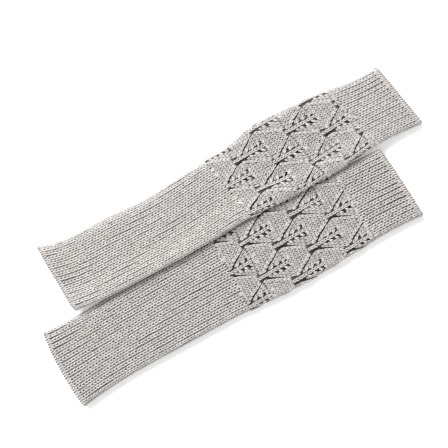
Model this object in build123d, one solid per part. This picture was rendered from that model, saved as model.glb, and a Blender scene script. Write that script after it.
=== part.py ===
from build123d import *
import os
from math import cos, pi, sin

# A pair of long knitted fingerless gloves lying side by side. Each is a springy tube of ribbing and
# leaf lace, pressed flat, with a thumb slit in its palm. +X runs towards the fingers and +Z is up.
# The upper glove, at +Y, lies with one edge over the under glove. All lengths are in millimetres.

# Driving dimensions
glove_thickness = 11.0
fabric = 2.8
edge_reach = 7.5          # how far in from a side the folded edge keeps curving
pressed_flat = 0.15       # how much of the rounded underside is pressed flat where it rests
edge_chain = 3.0          # length of the cast-on and bind-off edges
drape_reach = 26.0        # how far in from its edge the upper glove is lifted by the under glove
slit_length = 46.0
slit_gape = 7.0
slit_inset = 20.0         # from the glove's thumb side to the slit and the seam
slit_to_hand_rib = 6.0
edging_width = 1.8
seam_width = 2.2
bartack_size = (3.0, 7.0)
tail_size = (34.0, 1.3, 1.2)
tail_offset = 4.0         # from the seam to the darned yarn tail beside it
tail_inset = 8.0          # from each end of the glove to the yarn tail near it

# Cutting blocks reach this far past the fabric, so that their own faces stay clear of it.
beyond_sides = 6.0
beyond_ends = 12.0
below_palm = 2.0

# Each station along a glove: x, the low and high side in y, and how far the low side is lifted.
upper_stations = [
    (-162, 5.6, 70.4, 8.2),
    (-146, 4.4, 66.2, 8.3),
    (-132, 2.8, 62.4, 8.4),
    (-116, 1.6, 61.2, 8.4),
    (-80, 0.8, 60.4, 8.4),
    (-30, 0.8, 60.2, 8.4),
    (8, 2.6, 62.5, 8.0),
    (40, 1.8, 66.6, 8.2),
    (72, 1.4, 69.0, 8.4),
    (104, 2.4, 67.4, 7.6),
    (130, 4.6, 64.6, 5.6),
    (148, 5.0, 62.2, 3.0),
    (164, 4.0, 62.2, 1.0),
    (182, 3.0, 64.6, 0.2),
    (200, 3.0, 67.6, 0.0),
]
under_stations = [
    (-198, -71.4, 3.6, 0.0),
    (-178, -69.0, 1.8, 0.0),
    (-158, -66.4, 0.8, 0.0),
    (-130, -64.6, 1.4, 0.0),
    (-75, -64.6, 3.4, 0.0),
    (-30, -64.8, 3.6, 0.0),
    (5, -66.6, 4.0, 0.0),
    (45, -66.6, 4.2, 0.0),
    (78, -64.8, 4.0, 0.0),
    (112, -63.6, 2.8, 0.0),
    (160, -66.6, 1.0, 0.0),
]


class Glove:
    """Where one glove lies: its stations, and the x on its middle line, the slant and the bow along
    x of each course at which its knitting starts, changes stitch and ends."""

    def __init__(self, name, stations, middle, thumb_at_high_side, courses):
        self.name = name
        self.stations = stations
        self.middle = middle
        self.courses = courses
        self.thumb_at_high_side = thumb_at_high_side


upper = Glove("upper", upper_stations, 33.0, False, {
    "forearm_end": (-147.6, 3.5, -2.0),
    "lace_start": (11.5, 11.0, 0.0),
    "lace_end": (132.0, 11.0, 0.0),
    "finger_end": (174.5, 11.0, 0.0),
})
under = Glove("under", under_stations, -32.0, True, {
    "forearm_end": (-179.4, 0.0, -3.6),
    "lace_start": (-20.0, 0.0, 0.0),
    "lace_end": (98.6, 1.0, 0.0),
    "finger_end": (141.6, 4.8, 0.6),
})


def side_angles():
    """Even steps round a folded side, from the top of the glove to its underside."""
    steps = 8
    return [pi * step / steps for step in range(1, steps)]


def outline(low, high, lift, inset):
    """The points round one cross-section, as y and z: flat top and bottom, and folded sides."""
    half_width = (high - low) / 2 - inset
    half_height = glove_thickness / 2 - inset
    reach = edge_reach - inset
    flat = half_width - reach
    centre = (low + high) / 2

    def point(y, rise):
        from_low_side = y + (high - low) / 2
        share = max(0.0, 1 - from_low_side / drape_reach)
        drape = lift * share * share * (3 - 2 * share)
        return (centre + y, glove_thickness / 2 + drape + rise)

    quarters = 4
    steps = [flat * (1 - step / quarters) for step in range(0, 2 * quarters + 1)]
    top = [point(y, half_height) for y in steps]
    low_side = [point(-flat - reach * sin(a), half_height * cos(a)) for a in side_angles()]
    bottom = [point(-y, -half_height) for y in steps]
    high_side = [point(flat + reach * sin(a), -half_height * cos(a)) for a in side_angles()]
    return top + low_side + bottom + high_side


def tube_solid(glove, inset):
    """The whole glove as one closed solid, drawn in from its outer skin by inset."""
    sections = []
    for x, low, high, lift in glove.stations:
        points = [Vector(x, y, z) for y, z in outline(low, high, lift, inset)]
        sections.append(Face(Wire([Edge.make_spline(points, periodic=True)])))
    return loft(sections)


def course_curve(glove, name, shift, half_width):
    """One course of the glove from its low to its high side, past both, as a slanted shallow arc."""
    x, slant, bow = glove.courses[name]
    lean = half_width * sin(slant * pi / 180)
    low = (x + shift + lean, glove.middle - half_width)
    high = (x + shift - lean, glove.middle + half_width)
    if bow == 0:
        return Line(low, high)
    return ThreePointArc(low, (x + shift + bow, glove.middle), high)


def length_block(glove, start, finish, start_shift=0.0, finish_shift=0.0):
    """A block between two courses of the glove, wide and tall enough to hold it."""
    half_width = max(high - low for _, low, high, _ in glove.stations) / 2 + beyond_sides
    first = course_curve(glove, start, start_shift, half_width)
    last = course_curve(glove, finish, finish_shift, half_width)
    face = make_face([first, Line(first @ 1, last @ 1), last, Line(last @ 0, first @ 0)])
    return extrude(Pos(0, 0, -below_palm) * face, amount=2 * glove_thickness + 2 * below_palm)


def side_y(glove, x, side):
    """The y of the glove's low or high side at x, between its stations."""
    for (x0, *low0), (x1, *low1) in zip(glove.stations, glove.stations[1:]):
        if x0 <= x <= x1:
            share = (x - x0) / (x1 - x0)
            return low0[side] + share * (low1[side] - low0[side])
    raise ValueError(x)


def thumb_line(glove):
    """The y of the slit and the seam, and the x where the slit ends nearest the fingers."""
    slit_finish = glove.courses["lace_end"][0] - slit_to_hand_rib
    middle_of_slit = slit_finish - slit_length / 2
    if glove.thumb_at_high_side:
        return side_y(glove, middle_of_slit, 1) - slit_inset, slit_finish
    return side_y(glove, middle_of_slit, 0) + slit_inset, slit_finish


def lens(length, width):
    """A pointed oval, long along x."""
    bulge = ThreePointArc((-length / 2, 0), (0, width / 2), (length / 2, 0))
    hollow = ThreePointArc((length / 2, 0), (0, -width / 2), (-length / 2, 0))
    return make_face([bulge, hollow])


def palm_block(x0, x1, y, width):
    """An upright block through the palm alone: it stops halfway up the hollow."""
    block = Box(x1 - x0, width, glove_thickness, align=(Align.MIN, Align.CENTER, Align.MAX))
    return Pos(x0, y, glove_thickness / 2) * block


def build_glove(glove):
    """Every piece of one glove, by node name."""
    hollow = tube_solid(glove, fabric)
    skin = tube_solid(glove, 0.0)
    around = skin.bounding_box()
    on_table = (Align.CENTER, Align.CENTER, Align.MAX)
    table = Box(2 * around.size.X, 2 * around.size.Y, glove_thickness, align=on_table)
    tube = skin - hollow - Pos(around.center().X, around.center().Y, pressed_flat) * table
    y, slit_finish = thumb_line(glove)
    slit_start = slit_finish - slit_length
    slit_middle = (slit_start + slit_finish) / 2
    bar, bar_width = bartack_size

    def through_palm(face):
        return extrude(Pos(slit_middle, y, -below_palm) * face, amount=glove_thickness / 2 + below_palm)

    slit = through_palm(lens(slit_length, slit_gape))
    slit_with_edging = through_palm(lens(slit_length + 2 * edging_width, slit_gape + 2 * edging_width))
    edging = tube & (slit_with_edging - slit)

    first_x = glove.courses["forearm_end"][0] - beyond_ends
    last_x = glove.courses["finger_end"][0] + beyond_ends
    low_bar = palm_block(slit_start - bar, slit_start, y, bar_width)
    high_bar = palm_block(slit_finish, slit_finish + bar, y, bar_width)
    edging = edging - low_bar - high_bar
    body = length_block(glove, "forearm_end", "finger_end")
    seam_below = tube & palm_block(first_x, slit_start - bar, y, seam_width) & body
    seam_above = tube & palm_block(slit_finish + bar, last_x, y, seam_width) & body

    tail_length, tail_width, tail_depth = tail_size
    inner_skin = Pos(0, 0, -tail_depth) * hollow - hollow
    tail_y = y + tail_offset
    low_tail_x = glove.courses["forearm_end"][0] + tail_inset
    high_tail_x = glove.courses["finger_end"][0] - tail_inset - tail_length
    tails = [
        inner_skin & palm_block(x, x + tail_length, tail_y, tail_width)
        for x in (low_tail_x, high_tail_x)
    ]

    taken = [slit_with_edging, low_bar, high_bar] + tails
    taken.append(palm_block(first_x, slit_start - bar, y, seam_width))
    taken.append(palm_block(slit_finish + bar, last_x, y, seam_width))
    knitting = tube
    for piece in taken:
        knitting = knitting - piece

    return {
        "forearm_edge": knitting & length_block(glove, "forearm_end", "forearm_end", 0, edge_chain),
        "forearm_rib": knitting & length_block(glove, "forearm_end", "lace_start", edge_chain, 0),
        "leaf_lace": knitting & length_block(glove, "lace_start", "lace_end"),
        "hand_rib": knitting & length_block(glove, "lace_end", "finger_end", 0, -edge_chain),
        "finger_edge": knitting & length_block(glove, "finger_end", "finger_end", -edge_chain, 0),
        "thumb_edging": edging,
        "thumb_bartacks": tube & (low_bar + high_bar),
        "seam_below_thumb": seam_below,
        "seam_above_thumb": seam_above,
        "yarn_tails": tails[0] + tails[1],
    }


def main():
    os.makedirs("parts", exist_ok=True)
    pieces = {}
    for glove in (upper, under):
        for node, shape in build_glove(glove).items():
            pieces[glove.name + "_" + node] = shape
    whole = Compound(children=[Compound(shape.solids()) for shape in pieces.values()])
    box = whole.bounding_box()
    shift = Pos(-box.center().X, -box.center().Y, -pressed_flat)
    for node, shape in pieces.items():
        placed = [shift * solid for solid in shape.solids()]
        print(node, len(placed))
        export_step(placed[0] if len(placed) == 1 else Compound(placed), "parts/" + node + ".step")
    print("shift", shift)
    print("size", box.size)


main()
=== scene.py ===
import math
import bmesh
import bpy
import numpy as np
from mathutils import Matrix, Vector
from mathutils.bvhtree import BVHTree


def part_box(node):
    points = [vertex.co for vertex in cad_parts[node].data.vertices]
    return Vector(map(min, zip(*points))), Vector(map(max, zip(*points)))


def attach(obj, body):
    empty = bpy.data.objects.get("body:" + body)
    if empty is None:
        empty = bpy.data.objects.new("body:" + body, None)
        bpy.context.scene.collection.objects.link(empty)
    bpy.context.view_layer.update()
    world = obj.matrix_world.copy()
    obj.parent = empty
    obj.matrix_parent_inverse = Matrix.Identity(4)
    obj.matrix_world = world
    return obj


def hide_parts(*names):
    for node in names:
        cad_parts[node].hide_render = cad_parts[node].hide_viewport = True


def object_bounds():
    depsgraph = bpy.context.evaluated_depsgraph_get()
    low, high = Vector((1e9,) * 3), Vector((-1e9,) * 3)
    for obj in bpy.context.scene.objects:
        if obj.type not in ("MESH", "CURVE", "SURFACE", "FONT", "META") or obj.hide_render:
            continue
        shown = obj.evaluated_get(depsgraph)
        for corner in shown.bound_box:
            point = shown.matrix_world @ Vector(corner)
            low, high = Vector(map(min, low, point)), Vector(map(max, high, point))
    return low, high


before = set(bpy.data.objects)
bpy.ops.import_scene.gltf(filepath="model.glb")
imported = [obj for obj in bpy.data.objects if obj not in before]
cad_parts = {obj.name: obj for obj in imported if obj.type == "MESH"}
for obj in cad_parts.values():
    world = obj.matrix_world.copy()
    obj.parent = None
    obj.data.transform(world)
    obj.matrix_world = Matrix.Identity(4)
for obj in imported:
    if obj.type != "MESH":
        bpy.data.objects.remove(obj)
cad_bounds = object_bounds()


# ---------------------------------------------------------------------------------------------
# Camera. It looks straight down on the pair through a long lens, so that the gloves are seen nearly
# without perspective, and it is turned so that the fingers point up to the right.
# ---------------------------------------------------------------------------------------------

camera_lens = 85
sensor_width = 36
view_across = 0.372           # metres of table seen from left to right
view_turn = math.radians(-28.7)
view_offset = Vector((-0.0037, 0.0086, 0))    # metres from the middle of the pair
view_centre = (cad_bounds[0] + cad_bounds[1]) / 2 + view_offset

camera = bpy.data.objects.new("camera", bpy.data.cameras.new("camera"))
bpy.context.scene.collection.objects.link(camera)
camera.data.lens = camera_lens
camera.data.sensor_width = sensor_width
camera.location = view_centre + Vector((0, 0, view_across * camera_lens / sensor_width))
camera.rotation_euler = (0, 0, view_turn)
bpy.context.scene.camera = camera


# ---------------------------------------------------------------------------------------------
# How each glove lies. A glove is one soft knitted tube pressed flat, so every stitch of it has a
# place on the tube: a share of the way round from the palm seam, up over the +Y side and back, and
# a distance along from the forearm end. The tube's surface is read from the CAD bodies.
# ---------------------------------------------------------------------------------------------

mm = 0.001
edge_chain = 3.0              # length of the cast-on and bind-off edges, in millimetres
slit_gape = 7.0               # width of the open thumb slit at its middle, in millimetres
slit_reach = 1.04             # how far the gap in the stitches reaches, in half lengths of the slit
pressed_height = 0.6          # millimetres from the table to the middle of yarn pressed flat on it
tube_nodes = ("forearm_edge", "forearm_rib", "leaf_lace", "hand_rib", "finger_edge")
palm_nodes = ("thumb_edging", "thumb_bartacks", "seam_below_thumb", "seam_above_thumb")


class Glove:
    """The surface of one glove as a grid of points in millimetres: loops round it at even x."""

    stations = 120
    steps = 288               # round one loop
    soundings = 72            # rays down on the top of one loop, and as many up on its palm
    sounded_turn = 0.494      # of a half circle: how near to the folded sides the rays come
    folded_turn = 0.4         # of a half circle: past this the glove is in its folded side
    ray_start = 0.1           # metres
    side_heights = np.linspace(0.0005, 0.019, 38)
    least_thickness = 0.0062  # metres: a ray that ends nearer to the top went in through the slit
    smoothing_rounds = 4

    def __init__(self, name, course_slants, course_bows):
        """Slants, in degrees, and bows, in millimetres, are those of the courses at the forearm end,
        at the start and the end of the lace, and at the finger end."""
        self.name = name
        self.body = name + "_glove"
        self.tree = self.collect_bodies()
        boxes = [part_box(self.node(part)) for part in tube_nodes]
        self.seam_y = sum(corner.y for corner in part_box(self.node("seam_below_thumb"))) / 2
        station_x = np.linspace(boxes[0][1].x, boxes[4][0].x, self.stations)
        low, high = boxes[2]
        first_fold = self.steps // 2 * (high.y - self.seam_y) / (high.y - low.y)
        self.fold_steps = [0, first_fold, first_fold + self.steps // 2, self.steps]
        self.grid = self.smoothed(np.array([self.read_loop(x) for x in station_x]) / mm)
        girths = np.linalg.norm(np.diff(self.grid, axis=1), axis=2).sum(axis=1)
        in_lace = (station_x > low.x) & (station_x < high.x)
        self.girth = float(girths[in_lace].mean())
        self.middle_y = float(self.grid[:, :, 1].mean())
        self.half_width = float(np.ptp(self.grid[:, :, 1])) / 2
        self.start_x = boxes[0][0].x / mm
        finger_end = (boxes[4][0].x + boxes[4][1].x) / 2 / mm + edge_chain / 2
        self.length = finger_end - self.start_x
        self.lace_start = (boxes[1][1].x + boxes[2][0].x) / 2 / mm - self.start_x
        self.lace_end = (boxes[2][1].x + boxes[3][0].x) / 2 / mm - self.start_x
        self.courses = (0, self.lace_start, self.lace_end, self.length)
        self.slants = [math.tan(math.radians(slant)) for slant in course_slants]
        self.bows = course_bows
        self.measure_slit()

    def node(self, part):
        return self.name + "_" + part

    def collect_bodies(self):
        """One tree of the glove's CAD bodies, for rays to hit."""
        bodies = bmesh.new()
        for part in tube_nodes + palm_nodes:
            bodies.from_mesh(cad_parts[self.node(part)].data)
        tree = BVHTree.FromBMesh(bodies)
        bodies.free()
        return tree

    def side(self, x, direction):
        """The outermost point at x on the side that faces along y in this direction."""
        best = None
        for z in self.side_heights:
            start = Vector((x, self.ray_start * direction, z))
            hit = self.tree.ray_cast(start, Vector((0, -direction, 0)))[0]
            if hit is not None and (best is None or hit.y * direction > best.y * direction):
                best = hit
        return best

    def sound(self, low, high, x):
        """The heights of the top and of the palm at x, at steps in y from one side to the other. Over
        the thumb slit the palm runs straight across."""
        angles = np.linspace(-self.sounded_turn, self.sounded_turn, self.soundings) * math.pi
        ys = (low.y + high.y) / 2 + (high.y - low.y) / 2 * np.sin(angles)
        top, palm = [], []
        for y in ys:
            top.append(self.tree.ray_cast(Vector((x, y, self.ray_start)), Vector((0, 0, -1)))[0].z)
            palm.append(self.tree.ray_cast(Vector((x, y, -self.ray_start)), Vector((0, 0, 1)))[0].z)
        top, palm = np.array(top), np.array(palm)
        solid = (palm < top - self.least_thickness) | (np.abs(angles) > self.folded_turn * math.pi)
        return ys, top, np.interp(ys, ys[solid], palm[solid])

    def read_loop(self, x):
        """One loop round the tube at x, in metres, from the palm seam. Half its steps are on top,
        between the folded sides, so that ribs and leaves spread evenly where the glove widens."""
        low, high = self.side(x, -1), self.side(x, 1)
        ys, top, palm = self.sound(low, high, x)
        round_y = np.concatenate(([low.y], ys, [high.y], ys[::-1], [low.y]))
        round_z = np.concatenate(([low.z], palm, [high.z], top[::-1], [low.z]))
        first = int(np.searchsorted(ys, self.seam_y)) + 1
        seam_z = float(np.interp(self.seam_y, ys, palm))
        loop_y = np.concatenate(([self.seam_y], round_y[first:-1], round_y[:first], [self.seam_y]))
        loop_z = np.concatenate(([seam_z], round_z[first:-1], round_z[:first], [seam_z]))
        walked = np.concatenate(([0], np.cumsum(np.hypot(np.diff(loop_y), np.diff(loop_z)))))
        folds = [walked[loop_y.argmax()], walked[loop_y.argmin()]]
        even = np.interp(np.arange(self.steps + 1), self.fold_steps, [0, *folds, walked[-1]])
        return np.stack([np.full(self.steps + 1, x), np.interp(even, walked, loop_y),
                         np.interp(even, walked, loop_z)], axis=1)

    def smoothed(self, grid):
        """The grid with each loop softened towards its two neighbours."""
        for _ in range(self.smoothing_rounds):
            grid[1:-1] = (grid[:-2] + 2 * grid[1:-1] + grid[2:]) / 4
        return grid

    def measure_slit(self):
        """The length of the thumb slit, and how far along its middle is, from the seams that end at it."""
        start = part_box(self.node("seam_below_thumb"))[1].x / mm + edge_chain
        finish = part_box(self.node("seam_above_thumb"))[0].x / mm - edge_chain
        self.slit_length = finish - start
        slant = np.interp(self.lace_end - self.slit_length / 2, self.courses, self.slants)
        off_middle = self.seam_y / mm - self.middle_y
        self.slit_middle = (start + finish) / 2 - self.start_x + slant * off_middle

    def in_slit(self, share, along, margin):
        """Whether a spot is in the open thumb slit, drawn wider by a margin in millimetres."""
        sideways = np.abs((np.mod(share + 0.5, 1) - 0.5) * self.girth)
        reach = 2 * np.abs(along - self.slit_middle) / self.slit_length
        half_gape = slit_gape / 2 * np.clip(1 - reach ** 2, 0, 1)
        return (sideways < half_gape + margin) & (reach < slit_reach)

    def at(self, x, share):
        """The surface at x and at a share of the way round. Past the ends it runs straight on."""
        row = (x - self.grid[0, 0, 0]) / (self.grid[1, 0, 0] - self.grid[0, 0, 0])
        low = np.clip(np.floor(row), 0, self.stations - 2).astype(int)
        column = np.mod(share, 1.0) * self.steps
        left = np.minimum(np.floor(column), self.steps - 1).astype(int)
        part, across = (row - low)[..., None], (column - left)[..., None]
        near = self.grid[low, left] * (1 - across) + self.grid[low, left + 1] * across
        far = self.grid[low + 1, left] * (1 - across) + self.grid[low + 1, left + 1] * across
        return near * (1 - part) + far * part

    def surface(self, share, along):
        """The surface at a share of the way round and a distance along, on the real courses, which
        slant across the glove and bow. Three rounds settle where such a course is."""
        slant = np.interp(along, self.courses, self.slants)
        bow = np.interp(along, self.courses, self.bows)
        x = self.start_x + along
        for _ in range(3):
            off_middle = self.at(x, share)[..., 1] - self.middle_y
            x = self.start_x + along - slant * off_middle + bow * (off_middle / self.half_width) ** 2
        return self.at(x, share)

    def place(self, share, along, out):
        """A point this far out from the surface, in millimetres. Inside the tube, out is negative.
        What would be under the table is pressed flat on it."""
        share, along, out = np.broadcast_arrays(share, along, out)
        step = 1.5            # millimetres to the neighbours that show which way the surface faces
        round_step = step / self.girth
        across = self.surface(share + round_step, along) - self.surface(share - round_step, along)
        onward = self.surface(share, along + step) - self.surface(share, along - step)
        normal = np.cross(across, onward)
        normal /= np.linalg.norm(normal, axis=-1, keepdims=True)
        spots = self.surface(share, along) + normal * out[..., None]
        spots[..., 2] = np.maximum(spots[..., 2], pressed_height)
        return spots

    def share_of_top(self, y, along):
        """The share of the way round at which the top of the glove has this y."""
        shares = np.linspace(0.0, 1.0, 721)
        points = self.surface(shares, np.full(len(shares), along))
        upper = points[:, 2] > points[:, 2].mean()
        order = np.argsort(points[upper, 1])
        return float(np.interp(y, points[upper, 1][order], shares[upper][order]))


gloves = [
    Glove("upper", course_slants=(3.5, 11, 11, 11), course_bows=(1.5, 0, 0, 0)),
    Glove("under", course_slants=(0, 0, 1, 4.8), course_bows=(2.6, 0, 0, -0.5)),
]


# ---------------------------------------------------------------------------------------------
# The yarn. Soft plied wool-blend yarn, about 1.3 mm thick, dyed light warm grey. Nearly everything
# here is knitted from it. A stitch is a strand of round yarn, and no two lie quite alike.
# ---------------------------------------------------------------------------------------------

yarn_radius = 0.66            # millimetres
yarn_colour = "#D6D2CF"
yarn_shade = "#B9B5B2"
tuck_painted_shade = "#6B6765"       # painted shade: the yarn's colour where it lies in the shade behind the next stitch
fibre_glow = "#F4F2F0"
heather_fleck = 3.85          # millimetres, coarser than the real flecks so that they show
plies = 2
ply_turns = 3.0               # turns of ply along one stitch, coarser than real so that they show
ply_relief = 0.2              # millimetres


def linear(hex_colour):
    """An sRGB hex colour as linear red, green, blue and alpha."""
    shares = [int(hex_colour[i:i + 2], 16) / 255 for i in (1, 3, 5)]
    return [s / 12.92 if s <= 0.04045 else ((s + 0.055) / 1.055) ** 2.4 for s in shares] + [1]


def add_node(tree, kind, settings=None, links=None):
    """A new node with its settings, and its inputs linked or set: {input: a socket or a value}."""
    node = tree.nodes.new(kind)
    for name, value in (settings or {}).items():
        setattr(node, name, value)
    for name, value in (links or {}).items():
        if isinstance(value, bpy.types.NodeSocket):
            tree.links.new(value, node.inputs[name])
        else:
            node.inputs[name].default_value = value
    return node


def wool_material(name):
    """Wool-blend fibre. It is matt, its loose fibres give a pale glow at grazing angles, and its
    surface is faintly uneven, so that light breaks up softly on it."""
    material = bpy.data.materials.new(name)
    material.use_nodes = True
    tree = material.node_tree
    shader = tree.nodes["Principled BSDF"]
    shader.inputs["Roughness"].default_value = 0.92
    shader.inputs["Specular IOR Level"].default_value = 0.25
    shader.inputs["Sheen Weight"].default_value = 0.25
    shader.inputs["Sheen Roughness"].default_value = 0.6
    shader.inputs["Sheen Tint"].default_value = linear(fibre_glow)
    place = add_node(tree, "ShaderNodeTexCoord", {"name": "place"})
    heather = add_node(tree, "ShaderNodeTexNoise", {"name": "heather"}, {
        "Vector": place.outputs["Object"], "Scale": 1 / (heather_fleck * mm), "Detail": 3.0,
        "Roughness": 0.6})
    relief = add_node(tree, "ShaderNodeBump", {"name": "relief"}, {
        "Height": heather.outputs["Fac"], "Strength": 0.35, "Distance": ply_relief * mm})
    tree.links.new(relief.outputs["Normal"], shader.inputs["Normal"])
    return material


def plied_material(name, light, dark, painted_tuck_shade):
    """Wool-blend yarn, spun and plied. Its plies give fine ridges that slant along each strand, its
    mixed fibres a colour that wanders from light to dark, and each stitch is given painted shade, a
    darker colour where it tucks in behind the next one. The strand's own map runs along it in X and
    round it in Y."""
    material = wool_material(name)
    tree = material.node_tree
    shader = tree.nodes["Principled BSDF"]
    heather = tree.nodes["heather"].outputs["Fac"]
    strand = add_node(tree, "ShaderNodeSeparateXYZ", links={"Vector": tree.nodes["place"].outputs["UV"]})
    wound = add_node(tree, "ShaderNodeMath", {"operation": "MULTIPLY_ADD"},
                     {0: strand.outputs["X"], 1: ply_turns, 2: strand.outputs["Y"]})
    ridges = add_node(tree, "ShaderNodeMath", {"operation": "MULTIPLY"},
                      {0: wound.outputs[0], 1: plies * 2 * math.pi})
    ply = add_node(tree, "ShaderNodeMath", {"operation": "SINE"}, {0: ridges.outputs[0]})
    height = add_node(tree, "ShaderNodeMath", {"operation": "MULTIPLY_ADD"},
                      {0: ply.outputs[0], 1: 0.5, 2: heather})
    tree.links.new(height.outputs[0], tree.nodes["relief"].inputs["Height"])
    colour = add_node(tree, "ShaderNodeValToRGB", links={"Fac": heather})
    colour.color_ramp.elements[0].position = 0.3
    colour.color_ramp.elements[0].color = linear(dark)
    colour.color_ramp.elements[1].position = 0.65
    colour.color_ramp.elements[1].color = linear(light)
    # Painted shade: the colour turns to the tuck's shade colour at each strand's ends and at its middle,
    # where the stitch tucks in.
    arms = add_node(tree, "ShaderNodeMath", {"operation": "MULTIPLY"},
                    {0: strand.outputs["X"], 1: 2 * math.pi})
    wave = add_node(tree, "ShaderNodeMath", {"operation": "SINE"}, {0: arms.outputs[0]})
    crest = add_node(tree, "ShaderNodeMath", {"operation": "ABSOLUTE"}, {0: wave.outputs[0]})
    open_yarn_out_of_painted_shade = add_node(tree, "ShaderNodeMapRange", links={
        "Value": crest.outputs[0], "From Min": 0.1, "From Max": 0.75})
    shaded = add_node(tree, "ShaderNodeMix", {"data_type": "RGBA"}, {
        "Factor": open_yarn_out_of_painted_shade.outputs["Result"], "A": linear(painted_tuck_shade), "B": colour.outputs["Color"]})
    tree.links.new(shaded.outputs["Result"], shader.inputs["Base Color"])
    return material


plied_yarn = plied_material("plied_wool_blend_yarn", yarn_colour, yarn_shade, tuck_painted_shade)


def new_piece(glove, name, mesh, material, replaced=()):
    """Puts a finished mesh in the scene as a piece that rides on the glove."""
    piece = bpy.data.objects.new(glove.name + "_" + name, mesh)
    bpy.context.scene.collection.objects.link(piece)
    mesh.materials.clear()
    mesh.materials.append(material)
    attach(piece, glove.body)
    if replaced:
        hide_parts(*[glove.node(part) for part in replaced])
    return piece


def yarn_mesh(name, strands, radii):
    """Round yarn along each strand of points, in millimetres, with a radius at every point."""
    curve = bpy.data.curves.new(name, "CURVE")
    curve.dimensions = "3D"
    curve.bevel_depth = mm
    curve.bevel_resolution = 1
    curve.use_fill_caps = True
    for points, radius in zip(strands, radii):
        spline = curve.splines.new("POLY")
        spline.points.add(len(points) - 1)
        spline.points.foreach_set("co", np.column_stack([points * mm, np.ones(len(points))]).ravel())
        spline.points.foreach_set("radius", np.broadcast_to(radius, len(points)).astype(float))
        spline.use_smooth = True
    holder = bpy.data.objects.new(name, curve)
    bpy.context.scene.collection.objects.link(holder)
    depsgraph = bpy.context.evaluated_depsgraph_get()
    mesh = bpy.data.meshes.new_from_object(holder.evaluated_get(depsgraph))
    bpy.data.objects.remove(holder)
    mesh.name = name
    return mesh


# One knit stitch seen from the front is a V: two arms of yarn that rise from a point hidden under
# the stitch before it and tuck in behind the stitch after it. Across, along and out, in millimetres.
knit_arm = np.array([(-1.1, 2.1, -1.75), (-1.24, 1.15, -0.8), (-1.0, 0.0, -0.55), (-0.5, -1.15, -0.85)])
knit_point = np.array([(0.0, -1.7, -1.6)])
knit_stitch = np.vstack([knit_arm, knit_point, knit_arm[::-1] * (-1, 1, 1)])
knit_plumpness = np.array([0.6, 0.9, 1.12, 0.95, 0.65, 0.95, 1.12, 0.9, 0.6])

# How uneven the stitches are, in turn, width and length, and across, along and out.
unevenness = np.array([0.05, 0.05, 0.03, 0.07, 0.08, 0.06])
chance = np.random.default_rng(7)


def knit_strands(glove, share, along, turn, width, length, lift, radius):
    """The yarn of many stitches at once. Each array has one entry for each stitch: its place, how
    far it is turned, its width and length beside the plain stitch, its lift and its yarn radius."""
    uneven = chance.normal(0, 1, (len(share), 6)) * unevenness
    turn = turn + uneven[:, 0]
    across = knit_stitch[:, 0] * (width * (1 + uneven[:, 1]))[:, None]
    onward = knit_stitch[:, 1] * (length * (1 + uneven[:, 2]))[:, None]
    cos, sin = np.cos(turn)[:, None], np.sin(turn)[:, None]
    side = across * cos + onward * sin + uneven[:, 3, None]
    ahead = onward * cos - across * sin + uneven[:, 4, None]
    out = knit_stitch[:, 2] + lift[:, None] + uneven[:, 5, None]
    points = glove.place(share[:, None] + side / glove.girth, along[:, None] + ahead, out)
    return points, radius[:, None] * knit_plumpness


# ---------------------------------------------------------------------------------------------
# Forearm rib. One-by-one rib, 34 ribs round each glove, knitted in rows 3 mm apart. Each rib is a
# column of knit stitches, and the purl stitches between ribs pull back into grooves. Behind them
# the fuzz and the backs of the loops close the fabric, and a web stands for those.
# ---------------------------------------------------------------------------------------------

ribs = 34
row_height = 3.0
plain_rib = 4.1               # rib width in millimetres that the plain stitch is drawn for
closed_rib = 1.04             # width of a rib between closed grooves, in its shares of the girth
rib_narrowing = 0.14          # and how much of that open grooves take
rib_rise = 0.12               # millimetres that a rib rises beside an open groove
rib_sway = ((0.35, 17, 0.9), (0.25, 7.3, 2.1))
groove_wander = ((0.3, 31, 9), (0.25, 13, -21))
groove_bar = np.array([(-1.15, 0.0, -2.15), (-0.5, 0.42, -1.55), (0.5, 0.42, -1.55), (1.15, 0.0, -2.15)])
groove_radius = 0.85 * yarn_radius
groove_depth = 0.6            # millimetres that a purl bar sinks in an open groove
side_opening = 1.15           # how far grooves are open at the folded sides
side_reach = 0.3              # share of the half width over which that fades
end_opening = 0.9             # how far grooves are open at the glove's ends
forearm_reach = 20            # millimetres over which that fades from the forearm end
finger_reach = 16             # and from the finger end
calm_by_lace = 14             # the leaves hold the grooves closed over these millimetres
least_by_lace = 0.1
web_thickness = 0.5
web_grain = 1.5               # millimetres from one row of the web to the next
web_depth = 1.95              # millimetres under the surface of the glove
web_columns = 6               # in each rib
weld = 0.00002                # metres
furrow_depth = 0.25           # of the web under a closed groove, in millimetres
gaping_furrow = 0.3           # deeper by this under an open one
gaping_sink = 0.2             # where the whole web also sinks by this
stitch_clearance = 1.6        # millimetres from the thumb slit to the nearest stitch
web_clearance = 1.0           # and to the web
# Painted shade: the web's outer face is coloured dark for the shade between the stitches.
web_painted_shade_colour = "#54514F"
inside_colour = "#A19D9A"


def matted_material(name, colour):
    """Matted wool-blend fibre and loop backs, felted into one dull uneven face of a single colour."""
    material = wool_material(name)
    material.node_tree.nodes["Principled BSDF"].inputs["Base Color"].default_value = linear(colour)
    return material


# The web's outer face shows only in the shade between stitches, and its dark colour is painted
# shade that gives the eye dark gaps. Its inner face is the purl side of the fabric, which is lighter
# where the glove's openings show it.
painted_shade_web = matted_material("matted_web_painted_dark_for_shade", web_painted_shade_colour)
purl_side = matted_material("purl_side_of_the_yarn", inside_colour)


def waves(sizes, along, place):
    """Slow uneven waves. Each has its height, its millimetres for each radian, and its turn from one
    place round the glove to the next."""
    return sum(height * np.sin(along / length + turn * place) for height, length, turn in sizes)


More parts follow.
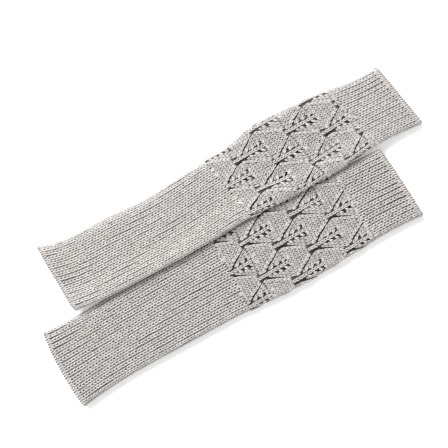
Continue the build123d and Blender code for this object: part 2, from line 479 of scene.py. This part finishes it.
def openness(glove, share, along):
    """How far the grooves are open, 0 to 1: wide at the glove's ends and folded sides."""
    y = glove.surface(share, along)[..., 1]
    from_side = 1 - np.abs(y - glove.middle_y) / glove.half_width
    near_side = np.clip(side_opening - from_side / side_reach, 0, 1)
    near_forearm_end = np.exp(-along / forearm_reach)
    near_finger_end = np.exp(-(glove.length - along) / finger_reach)
    near_end = end_opening * near_forearm_end + end_opening * near_finger_end
    from_lace = np.maximum(glove.lace_start - along, along - glove.lace_end)
    opened = np.maximum(near_side, near_end) + waves(groove_wander, along, share)
    return np.clip(opened * np.clip(from_lace / calm_by_lace, least_by_lace, 1), 0, 1)


def rib_stitches(glove, share, along, gape):
    """The knit stitches of the ribs, which narrow and rise where the grooves beside them gape."""
    width = (closed_rib - rib_narrowing * gape) * glove.girth / ribs / plain_rib
    each = np.ones(len(share))
    return knit_strands(glove, share, along, 0 * each, width, each, rib_rise * gape, yarn_radius * each)


def purl_bars(glove, share, along, gape):
    """The bars of yarn that cross the grooves, half a rib and half a row from the knit stitches."""
    groove = share - 0.5 / ribs
    bar_y = groove_bar[:, 0] * glove.girth / ribs / plain_rib / glove.girth
    points = glove.place(groove[:, None] + bar_y, (along + row_height / 2)[:, None] + groove_bar[:, 1],
                         groove_bar[:, 2] - groove_depth * gape[:, None])
    return points, np.full(points.shape[:2], groove_radius)


def web_mesh(glove, name, start, finish, grain, depth, holes):
    """One layer of web inside the stitches, as a tube at a depth and with holes that are given as
    functions of the share of the way round and the distance along."""
    lengthwise = int(round((finish - start) / grain))
    bm = bmesh.new()
    bmesh.ops.create_grid(bm, x_segments=ribs * web_columns, y_segments=lengthwise, size=0.5)
    spots = np.array([vert.co[:2] for vert in bm.verts]) + 0.5
    share, along = spots[:, 0], start + spots[:, 1] * (finish - start)
    middles = np.array([face.calc_center_median()[:2] for face in bm.faces]) + 0.5
    cut = holes(middles[:, 0], start + middles[:, 1] * (finish - start))
    bm.faces.ensure_lookup_table()
    bmesh.ops.delete(bm, geom=[bm.faces[i] for i in np.flatnonzero(cut)], context="FACES_ONLY")
    for vert, point in zip(bm.verts, glove.place(share, along, depth(share, along)) * mm):
        vert.co = point
    bmesh.ops.delete(bm, geom=[vert for vert in bm.verts if not vert.link_faces], context="VERTS")
    bmesh.ops.remove_doubles(bm, verts=bm.verts, dist=weld)
    bmesh.ops.recalc_face_normals(bm, faces=bm.faces)
    mesh = bpy.data.meshes.new(name)
    bm.to_mesh(mesh)
    bm.free()
    mesh.shade_smooth()
    return mesh


def new_web(glove, name, mesh, node):
    """Puts a web in the scene and gives it its thickness, with the purl side facing into the glove."""
    web = new_piece(glove, name, mesh, painted_shade_web, [node])
    mesh.materials.append(purl_side)
    solid = web.modifiers.new("thickness", "SOLIDIFY")
    solid.thickness = web_thickness * mm
    solid.offset = 0
    solid.material_offset = 1
    return web


def outside_slit(glove, share, along, strands):
    """Leaves out the strands whose stitch would lie in the thumb slit or its edging."""
    kept = ~glove.in_slit(share, along, stitch_clearance)
    return [part[kept] for part in strands]


def rib_tube(glove, name, start, finish, tuck):
    """Ribbing over one length of the glove. Its first stitches start further back by the tuck, under
    the stitches before them."""
    def furrows(share, along):
        gape = openness(glove, share, along)
        furrow = (furrow_depth + gaping_furrow * gape) * np.cos(2 * math.pi * share * ribs)
        return -web_depth - furrow - gaping_sink * gape

    def slit(share, along):
        return glove.in_slit(share, along, web_clearance)

    mesh = web_mesh(glove, name + "_web", start, finish, web_grain, furrows, slit)
    web = new_web(glove, name + "_web", mesh, name + "_rib")
    rows = int(round((finish - start + tuck) / row_height))
    course = start - tuck + (np.arange(rows) + 0.5) * (finish - start + tuck) / rows
    rib, along = [grid.ravel() for grid in np.meshgrid(np.arange(ribs), course)]
    share = (rib + 0.5) / ribs
    swayed = share + waves(rib_sway, along, rib) / glove.girth / 2
    gape = openness(glove, swayed, along)
    knits = outside_slit(glove, share, along, rib_stitches(glove, swayed, along, gape))
    bars = outside_slit(glove, rib / ribs, along, purl_bars(glove, swayed, along, gape))
    ribbing = new_piece(glove, name + "_knit_stitches", yarn_mesh(name, *knits), plied_yarn)
    sunk = new_piece(glove, name + "_purl_bars", yarn_mesh(name, *bars), plied_yarn)


for glove in gloves:
    rib_tube(glove, "forearm", edge_chain, glove.lace_start, 0)


# ---------------------------------------------------------------------------------------------
# Leaf lace. Between the ribbed ends each glove is knitted in half-dropped columns of leaves. Each
# leaf grows out of a thick stem, with pairs of eyelets beside its vein where stitches were made, and
# closes again where the outer wales run under the edge of the leaf beside it.
# ---------------------------------------------------------------------------------------------

# A place in a leaf is its row, the millimetres along from the start of its stem, and its distance
# off the middle of its vein. A wale is one column of stitches in a blade, counted from the edge.
lace_row = 2.95
leaf_repeat = 48.4            # from one stem to the next one in the same column
leaf_columns = {"upper": 15.7, "under": 16.2}
first_stems = {"upper": (49.6, 30.8), "under": (-45.4, 1.8)}
column_rises = {"upper": 0.02, "under": 0.034}
columns_past_ends = 8         # millimetres that the leaf columns are followed past the lace

narrowest_row = 1.7
widest_row = narrowest_row + leaf_repeat / 2
leaf_middle = 7.95
leaf_swing = 5.5
widest_leaf = leaf_middle + leaf_swing
edge_turn = 2 * math.pi / leaf_repeat
edge_pull = 0.1               # how far the wave of a leaf's edge is pulled straight between its turns

stem_row, stem_reach = 4, 7.5
vein_reach = 2.6
vein_rise, stem_rise = 0.3, 0.8
blade_rise, blade_crown = 0.15, 0.5
crown_row, crown_length = 14, 36
growing_edge_rise, closing_edge_rise = -2.3, 0.5
edge_turn_reach = 3           # before and after the widest row, where one edge turns into the other
edge_roll = 1.3
ground_rise = -1.0            # between leaves

gap_end_row, gap_fade = widest_row + 5, 1.5
passing_row, passing_reach = leaf_repeat / 2 + 5, 3
# On each side, the gap at a level edge, the gap for a full slope of it, and the gap beside a stem.
# Side -1 of a leaf faces +Y on the top of the glove.
edge_gaps = {-1: (0.4, 1.7, 0.7), 1: (0, 0.9, -0.9)}

vein_width, plain_narrowing = 0.76, 0.14
vein_radius, plain_thinning = 0.54, 0.12
plain_row, plain_fade, plain_sink = 26, 8, 0.1
wale_width = 2.33
wale_births = (7.5, 15.4, 20.4, 25.2, 28.5)
growing_inset, closing_inset = 0.8, 0.73
nearest_wale = 1.9            # a growing blade has no wale nearer to the vein than this
blade_start = 1.7             # off the vein, where a row of the blade starts to tilt
row_tilt = 0.4
closing_clearance = 1.7       # from the last straight wale of a closing blade to its edge
blade_width, blade_radius = 0.56, 0.41
edge_stitch_inset = 1.0
least_edged = 3.6             # a closing leaf narrower than this has no wale along its edge
rungs = (12.0, 17.5, 22.9, 27.6)
rung_off = 3.1
rung_slant = math.radians(46)
# Width and length beside the plain stitch, lift off the leaf, and yarn radius.
edge_stitch = (0.62, 1.1, 0.45, 0.52)
rung_stitch = (0.5, 1.2, 0.15, 0.5)

# Each eyelet's row, length, width, distance off the vein and lean.
eyelets = ((14.4, 4.8, 3.0, 3.6, 0.25), (20.2, 3.8, 2.4, 3.6, 0.35), (25.2, 3.0, 1.6, 3.5, 0.4))
outline_gap = 0.5
growing_rows = (5, 33)        # the rows along which the web is open at a leaf's +Y edge
turning_rows = (29, 9)        # and at its -Y edge, on into the next leaf
lace_web_grain = 0.8
lace_web_depth = 2.15
lace_web_relief = 0.6
seam_margin = 0.004           # share of the way round that the seam's furrow takes on each side


def leaf_edge(row):
    """How far a leaf's edge is from its vein."""
    angle = edge_turn * (row - narrowest_row)
    return leaf_middle - leaf_swing * (np.cos(angle) + edge_pull * np.cos(3 * angle)) / (1 + edge_pull)


def leaf_edge_slope(row):
    """How fast a leaf's edge leaves its vein."""
    angle = edge_turn * (row - narrowest_row)
    return leaf_swing * edge_turn * (np.sin(angle) + 3 * edge_pull * np.sin(3 * angle)) / (1 + edge_pull)


def stem_share(row):
    """How far a vein is a stem at this row, from 0 to 1: it is where its leaf starts."""
    this_stem = math.e ** -((row - stem_row) / stem_reach) ** 2
    return this_stem + math.e ** -((row - leaf_repeat - stem_row) / stem_reach) ** 2


def leaf_relief(off, row):
    """The lift of a leaf: high along its vein and most at the stem, crowned along its blades, rolled
    under at its growing edge and standing up at its closing edge."""
    inside = np.clip(leaf_edge(row) - off, 0, None)
    closing = np.clip((row - widest_row + edge_turn_reach) / (2 * edge_turn_reach), 0, 1)
    at_edge = growing_edge_rise + (closing_edge_rise - growing_edge_rise) * closing
    sunk = np.exp(-inside / edge_roll)
    crown = np.sin(np.clip((row - crown_row) / crown_length, 0, 1) * math.pi)
    blade = blade_rise + blade_crown * crown
    off_vein = 1 - np.exp(-(off / vein_reach) ** 4)
    vein = vein_rise + stem_rise * stem_share(row)
    return (blade * (1 - sunk) + at_edge * sunk) * off_vein + (1 - off_vein) * vein


def recess(row, side):
    """How far a leaf draws back from its outline. On its +Y side a growing leaf leaves a dark gap,
    widest where it passes the stem beside it. On its -Y side it closes up to that stem instead."""
    growing = 1 / (1 + math.exp((row - gap_end_row) / gap_fade))
    beside_stem = math.exp(-((row - passing_row) / passing_reach) ** 2)
    level_gap, slope_gap, stem_gap = edge_gaps[side]
    return (level_gap + slope_gap * max(0, leaf_edge_slope(row))) * growing + stem_gap * beside_stem


class Leaves:
    """Where the leaf columns of one glove run, and where each of its leaves starts."""

    past_and_next = np.arange(-5, 6)    # more leaves than the lace holds in one column
    samples = 30

    def __init__(self, glove):
        self.glove = glove
        y, x = first_stems[glove.name]
        self.stations = np.linspace(glove.lace_start - columns_past_ends,
                                    glove.lace_end + columns_past_ends, self.samples)
        slants = np.interp(self.stations, glove.courses, glove.slants)
        station_x = glove.start_x + self.stations - slants * (y - glove.middle_y)
        station_y = y + column_rises[glove.name] * (station_x - x)
        self.first_column = np.array([glove.share_of_top(height, along)
                                      for height, along in zip(station_y, self.stations)])
        along = float(np.interp(x, station_x, self.stations))
        self.first_share = float(np.interp(along, self.stations, self.first_column))
        self.spacing = leaf_columns[glove.name] / glove.girth
        columns = np.arange(-int(self.first_share / self.spacing) - 1,
                            int((1 - self.first_share) / self.spacing) + 2)
        self.axes = self.first_share + columns * self.spacing
        self.phases = along + (columns % 2) * leaf_repeat / 2

    def drift(self, along):
        """How far the columns have crept round the tube at a distance along, so that they run
        straight on the top of the glove."""
        return self.first_share - np.interp(along, self.stations, self.first_column)

    def off_veins(self, share, along):
        """The signed distance of each spot off every vein."""
        return ((share + self.drift(along))[..., None] - self.axes) * self.glove.girth

    def nearest(self, share, along):
        """The signed distance to the nearest vein, and the row of its leaf there."""
        away = self.off_veins(share, along)
        column = np.abs(away).argmin(axis=-1)
        off = np.take_along_axis(away, column[..., None], -1)[..., 0]
        return off, np.mod(along - self.phases[column], leaf_repeat)

    def relief(self, share, along):
        """How far the fabric stands out: that of the highest leaf over each spot."""
        away = np.abs(self.off_veins(share, along))
        row = np.mod(along[..., None] - self.phases, leaf_repeat)
        return np.where(away < leaf_edge(row), leaf_relief(away, row), ground_rise).max(axis=-1)


def vein_stitch(axis, along, row):
    """One stitch of a stem or vein. Past the leaf's middle the vein is a plain wale of the blade."""
    plain = min(1, max(0, (row - plain_row) / plain_fade)) * (1 - stem_share(row))
    return (axis, along, 0.0, vein_width - plain_narrowing * plain, 1.0,
            leaf_relief(0, row) - plain_sink * plain, vein_radius - plain_thinning * plain)


def leaf_stitch(glove, axis, along, row, side, off, turn, stitch):
    """One stitch beside the vein, with its width, its length, its lift off the leaf and its radius."""
    width, length, lift, radius = stitch
    return (axis + side * off / glove.girth, along, side * turn, width, length,
            leaf_relief(off, row) + lift, radius)


def growing_blade(glove, axis, along, row, side):
    """The stitches of one row of a growing blade. Its wales follow the edge, and the row tilts back."""
    stitches = []
    slope = leaf_edge_slope(row)
    for wale, birth in enumerate(wale_births):
        off = leaf_edge(row) - (wale + growing_inset) * wale_width - recess(row, side)
        if row > birth and off > nearest_wale:
            tilt = row_tilt * (off - blade_start)
            bend = tilt * (slope - leaf_edge_slope(row + 1))
            stitch = (blade_width, 1 + max(0, bend), 0.0, blade_radius)
            stitches.append(leaf_stitch(glove, axis, along - slope * tilt, row, side, off,
                                        math.atan(slope), stitch))
    return stitches


def closing_blade(glove, axis, along, row, side):
    """The stitches of one row of a closing blade. Its wales run straight until they meet the edge,
    which is one wale of plumper stitches that lies on top."""
    stitches = []
    edge = leaf_edge(row) - recess(row, side)
    for wale in range(len(wale_births)):
        off = widest_leaf - (wale + closing_inset) * wale_width
        if off < edge - closing_clearance:
            stitch = (blade_width, 1.0, 0.0, blade_radius)
            stitches.append(leaf_stitch(glove, axis, along, row, side, off, 0.0, stitch))
    if leaf_edge(row) > least_edged:
        stitches.append(leaf_stitch(glove, axis, along, row, side, edge - edge_stitch_inset,
                                    math.atan(leaf_edge_slope(row)), edge_stitch))
    return stitches


def lace_stitches(glove, leaves, start, finish):
    """The stitches of the veins and stems, and those of the leaf blades and the slanting rungs
    between eyelets: one list of arrays each, as knit_strands takes them."""
    rows = int(round((finish - start) / lace_row))
    course = start + (np.arange(rows) + 0.5) * (finish - start) / rows
    veins, blades = [], []
    for axis, phase in zip(leaves.axes, leaves.phases):
        for along in course:
            row = (along - phase) % leaf_repeat
            blade = growing_blade if row < widest_row else closing_blade
            veins.append(vein_stitch(axis, along, row))
            for side in (-1, 1):
                blades += blade(glove, axis, along, row, side)
        for first in phase + leaf_repeat * leaves.past_and_next:
            for rung in rungs:
                for side in (-1, 1):
                    blades.append(leaf_stitch(glove, axis, first + rung, rung, side, rung_off,
                                              rung_slant, rung_stitch))
    lists = [np.array(stitches).T for stitches in (veins, blades)]
    for stitches in lists:
        stitches[0] -= leaves.drift(stitches[1])
    return lists


def in_eyelet(leaves, share, along):
    """Whether a spot is in an eyelet beside a vein, or in the gap along a growing leaf's outline."""
    off, row = leaves.nearest(share, along)
    at_growing = (row > growing_rows[0]) & (row < growing_rows[1])
    at_turning = (row > turning_rows[0]) | (row < turning_rows[1])
    outline = leaf_edge(row) + np.where(off < 0, -outline_gap, outline_gap)
    inside = np.where(off < 0, at_growing, at_turning) & (np.abs(np.abs(off) - outline) < outline_gap)
    for eyelet_row, length, width, offset, lean in eyelets:
        ahead = row - eyelet_row
        aside = np.abs(off) - offset - lean * ahead
        inside |= (ahead / (length / 2)) ** 2 + (aside / (width / 2)) ** 2 < 1
    return inside


def keep_in(glove, stitches, start, finish):
    """Drops the stitches that fall outside the lace or in the thumb slit."""
    share, along = stitches[0], stitches[1]
    kept = (along > start - lace_row) & (along < finish + lace_row)
    kept &= (share > seam_margin) & (share < 1 - seam_margin)
    kept &= ~glove.in_slit(share, along, stitch_clearance)
    return stitches[:, kept]


def lace_tube(glove):
    """The whole lace panel of one glove: veins, blades, and the web with its eyelets."""
    start, finish = glove.lace_start, glove.lace_end
    leaves = Leaves(glove)
    for name, stitches in zip(("lace_veins", "lace_blades"), lace_stitches(glove, leaves, start, finish)):
        strands = knit_strands(glove, *keep_in(glove, stitches, start, finish))
        new_piece(glove, name, yarn_mesh(name, *strands), plied_yarn)

    def holes(share, along):
        return in_eyelet(leaves, share, along) | glove.in_slit(share, along, web_clearance)

    def depth(share, along):
        return -lace_web_depth + lace_web_relief * leaves.relief(share, along)

    mesh = web_mesh(glove, "lace_web", start, finish, lace_web_grain, depth, holes)
    web = new_web(glove, "lace_web", mesh, "leaf_lace")


for glove in gloves:
    lace_tube(glove)


# ---------------------------------------------------------------------------------------------
# Hand rib, knitted on from the lace in the same one-by-one rib. Its first row tucks in under the
# last row of the lace.
# ---------------------------------------------------------------------------------------------

for glove in gloves:
    rib_tube(glove, "hand", glove.lace_end, glove.length - edge_chain, row_height)


# ---------------------------------------------------------------------------------------------
# Cast-on and bind-off edges. Loops of the same yarn wrap over each rim, two for each rib, from the
# face of the fabric over the end and into the inside.
# ---------------------------------------------------------------------------------------------

rim_inset = 0.7               # millimetres from the end of the glove to where its loops turn over
rim_radius = 0.68
rim_unevenness = 0.1
rim_loop = np.array([(-1.3, 3.2, -1.3), (-0.7, 2.0, -0.35), (0.0, 0.7, -0.45), (0.6, -0.1, -1.2),
                     (0.9, 0.6, -2.1), (1.0, 2.0, -2.5)])


def rim(glove, name, along, onward):
    """The loops over one rim, laid from the rim onward into the glove."""
    count = ribs * 2
    share = (np.arange(count) + 0.5) / count
    uneven = chance.normal(0, rim_unevenness, (count, 3))
    points = glove.place(share[:, None] + (rim_loop[:, 0] + uneven[:, :1]) / glove.girth,
                         along + onward * (rim_loop[:, 1] + uneven[:, 1:2]),
                         rim_loop[:, 2] + uneven[:, 2:])
    mesh = yarn_mesh(name, points, np.full(points.shape[:2], rim_radius))
    new_piece(glove, name, mesh, plied_yarn, [name])


for glove in gloves:
    rim(glove, "forearm_edge", rim_inset, 1)
    rim(glove, "finger_edge", glove.length - rim_inset, -1)


# ---------------------------------------------------------------------------------------------
# Thumb slit. The palm seam is left open for the thumb, in the lace. A chain of the glove's yarn is
# worked along both lips, and each end of the slit is held by a bar tack of sewing yarn wraps.
# ---------------------------------------------------------------------------------------------

chain_pitch = 2.1             # millimetres
chain_offset = 0.9            # millimetres from a lip to the middle of its chain
chain_stitch = (0.72, 0.7, 0.1, 0.6)
sewing_radius = 0.3
tack_radius = 1.15 * sewing_radius
tack_half_length = 3.4
tack_slant = 0.1
tack_height = -0.15
wrap_pitch = 0.55
sewing_unevenness = 0.05
sewing_colour = "#B4AFAC"
sewing_shade = "#969290"
# Painted shade: the sewing yarn's colour at the ends and middle of each strand, where it tucks in.
sewing_painted_tuck_shade = "#5F5B59"

# The sewing yarn is spun from the same fibres, thinner and harder, and reads slightly darker.
sewing_yarn = plied_material("spun_sewing_yarn", sewing_colour, sewing_shade, sewing_painted_tuck_shade)


def slit_chain(glove):
    """A chain of small knit stitches along both lips of the slit."""
    reach = np.linspace(-1, 1, int(glove.slit_length / chain_pitch))
    lips = []
    for side in (-1, 1):
        sideways = side * (slit_gape / 2 * (1 - reach ** 2) + chain_offset)
        turn = np.arctan(-side * 2 * slit_gape * reach / glove.slit_length)
        along = glove.slit_middle + reach * glove.slit_length / 2
        lips.append(np.stack([sideways / glove.girth, along, turn]))
    places = np.concatenate(lips, axis=1)
    sizes = [np.full(places.shape[1], size) for size in chain_stitch]
    mesh = yarn_mesh("thumb_slit_chain", *knit_strands(glove, *places, *sizes))
    new_piece(glove, "thumb_slit_chain", mesh, plied_yarn, ["thumb_edging"])


def sewn_strands(glove, along, half_length, slant, rise):
    """Short strands across the seam, one for each distance along, that dip into the fabric at both
    ends."""
    across = np.array([-1.0, -0.82, -0.3, 0.3, 0.82, 1.0])
    out = np.array([-1.9, -0.7, rise, rise, -0.7, -1.9])
    uneven = chance.normal(0, sewing_unevenness, (len(along), 2))
    return glove.place(across * half_length / glove.girth,
                       along[:, None] + slant * across + uneven[:, :1], out + uneven[:, 1:])


def bar_tacks(glove):
    """Closely laid wraps of sewing yarn over both ends of the slit."""
    wraps = np.arange(0, edge_chain, wrap_pitch) + wrap_pitch / 2
    slit_start = glove.slit_middle - glove.slit_length / 2
    slit_finish = glove.slit_middle + glove.slit_length / 2
    along = np.concatenate([slit_start - edge_chain + wraps, slit_finish + wraps])
    points = sewn_strands(glove, along, tack_half_length, tack_slant, tack_height)
    mesh = yarn_mesh("bar_tack_wraps", points, np.full(points.shape[:2], tack_radius))
    new_piece(glove, "bar_tack_wraps", mesh, sewing_yarn, ["thumb_bartacks"])


for glove in gloves:
    slit_chain(glove)
    bar_tacks(glove)


# ---------------------------------------------------------------------------------------------
# Palm seam. The two edges of the flat knitted piece meet down the palm and are drawn together edge
# to edge with sewing yarn, one slanting stitch for each row, sunk in a furrow between two ribs.
# ---------------------------------------------------------------------------------------------

seam_radius = 1.5 * sewing_radius
seam_half_length = 1.5
seam_slant = 0.9
seam_height = -0.75


def seam(glove, name, start, finish):
    """One seam stitch for each row from start to finish."""
    along = np.arange(start + row_height / 2, finish, row_height)
    points = sewn_strands(glove, along, seam_half_length, seam_slant, seam_height)
    mesh = yarn_mesh(name, points, np.full(points.shape[:2], seam_radius))
    new_piece(glove, name + "_stitches", mesh, sewing_yarn, [name])


for glove in gloves:
    tacked_reach = glove.slit_length / 2 + edge_chain
    seam(glove, "seam_below_thumb", 0, glove.slit_middle - tacked_reach)
    seam(glove, "seam_above_thumb", glove.slit_middle + tacked_reach, glove.length)


# ---------------------------------------------------------------------------------------------
# Yarn tails. The cast-on and bind-off tails are darned in beside the seam, over and under the ribs,
# so each shows as a row of dashes along the palm.
# ---------------------------------------------------------------------------------------------

dash = 5.2                    # millimetres from one showing dash to the next
points_in_dash = 8
tail_radius = 0.9 * yarn_radius
tail_depth = 0.9              # millimetres from the surface to the middle of the weave
tail_weave = 0.95             # millimetres that it comes up and goes down from there
tail_wobble = 0.25


def darned_tails(glove):
    """Both tails of one glove, each as long as its CAD body."""
    low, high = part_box(glove.node("yarn_tails"))
    tail_share = ((low.y + high.y) / 2 - glove.seam_y) / mm / glove.girth
    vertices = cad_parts[glove.node("yarn_tails")].data.vertices
    cad_tails = np.array([vert.co.x for vert in vertices]) / mm
    middle = (low.x + high.x) / 2 / mm
    strands = []
    for xs in (cad_tails[cad_tails < middle], cad_tails[cad_tails > middle]):
        along = np.arange(xs.min(), xs.max(), dash / points_in_dash) - glove.start_x
        weave = np.sin(2 * math.pi * along / dash)
        strands.append(glove.place(tail_share + tail_wobble * weave / glove.girth, along,
                                   tail_weave * weave - tail_depth))
    mesh = yarn_mesh("darned_tails", strands, [tail_radius] * len(strands))
    new_piece(glove, "darned_tails", mesh, plied_yarn, ["yarn_tails"])


for glove in gloves:
    darned_tails(glove)


# ---------------------------------------------------------------------------------------------
# Floor and light. The pair lies on white seamless paper. A large soft light hangs on its +Y side,
# and an even bright room fills the shadows.
# ---------------------------------------------------------------------------------------------

floor_size = 40               # metres
floor_colour = "#FAFAFA"
room_colour = "#FFFFFF"
room_strength = 0.69
light_size = (0.8, 0.5)
light_power = 17
light_place = (-0.2, 0.82, 0.95)

# Uncoated paper: evenly matt and near white. It is also given painted light, a faint glow that
# keeps shadows on it pale.
painted_glow_paper = bpy.data.materials.new("white_paper_with_painted_glow")
painted_glow_paper.use_nodes = True
paper = painted_glow_paper.node_tree.nodes["Principled BSDF"]
paper.inputs["Base Color"].default_value = linear(floor_colour)
paper.inputs["Roughness"].default_value = 0.9
# Painted light: the paper glows a little, though it is no lamp.
paper.inputs["Emission Color"].default_value = linear(floor_colour)
paper.inputs["Emission Strength"].default_value = 0.25

bpy.ops.mesh.primitive_plane_add(size=floor_size)
floor = bpy.context.object
floor.name = "table"
floor.data.materials.append(painted_glow_paper)

room = bpy.data.worlds.new("bright_room")
room.use_nodes = True
room.node_tree.nodes["Background"].inputs["Color"].default_value = linear(room_colour)
room.node_tree.nodes["Background"].inputs["Strength"].default_value = room_strength
bpy.context.scene.world = room

key = bpy.data.objects.new("soft_key", bpy.data.lights.new("soft_key", "AREA"))
key.data.shape = "RECTANGLE"
key.data.size, key.data.size_y = light_size
key.data.energy = light_power
key.location = light_place
key.rotation_euler = (Vector((0, 0, 0)) - key.location).to_track_quat("-Z", "Y").to_euler()
bpy.context.scene.collection.objects.link(key)
bpy.context.scene.view_settings.view_transform = "Standard"
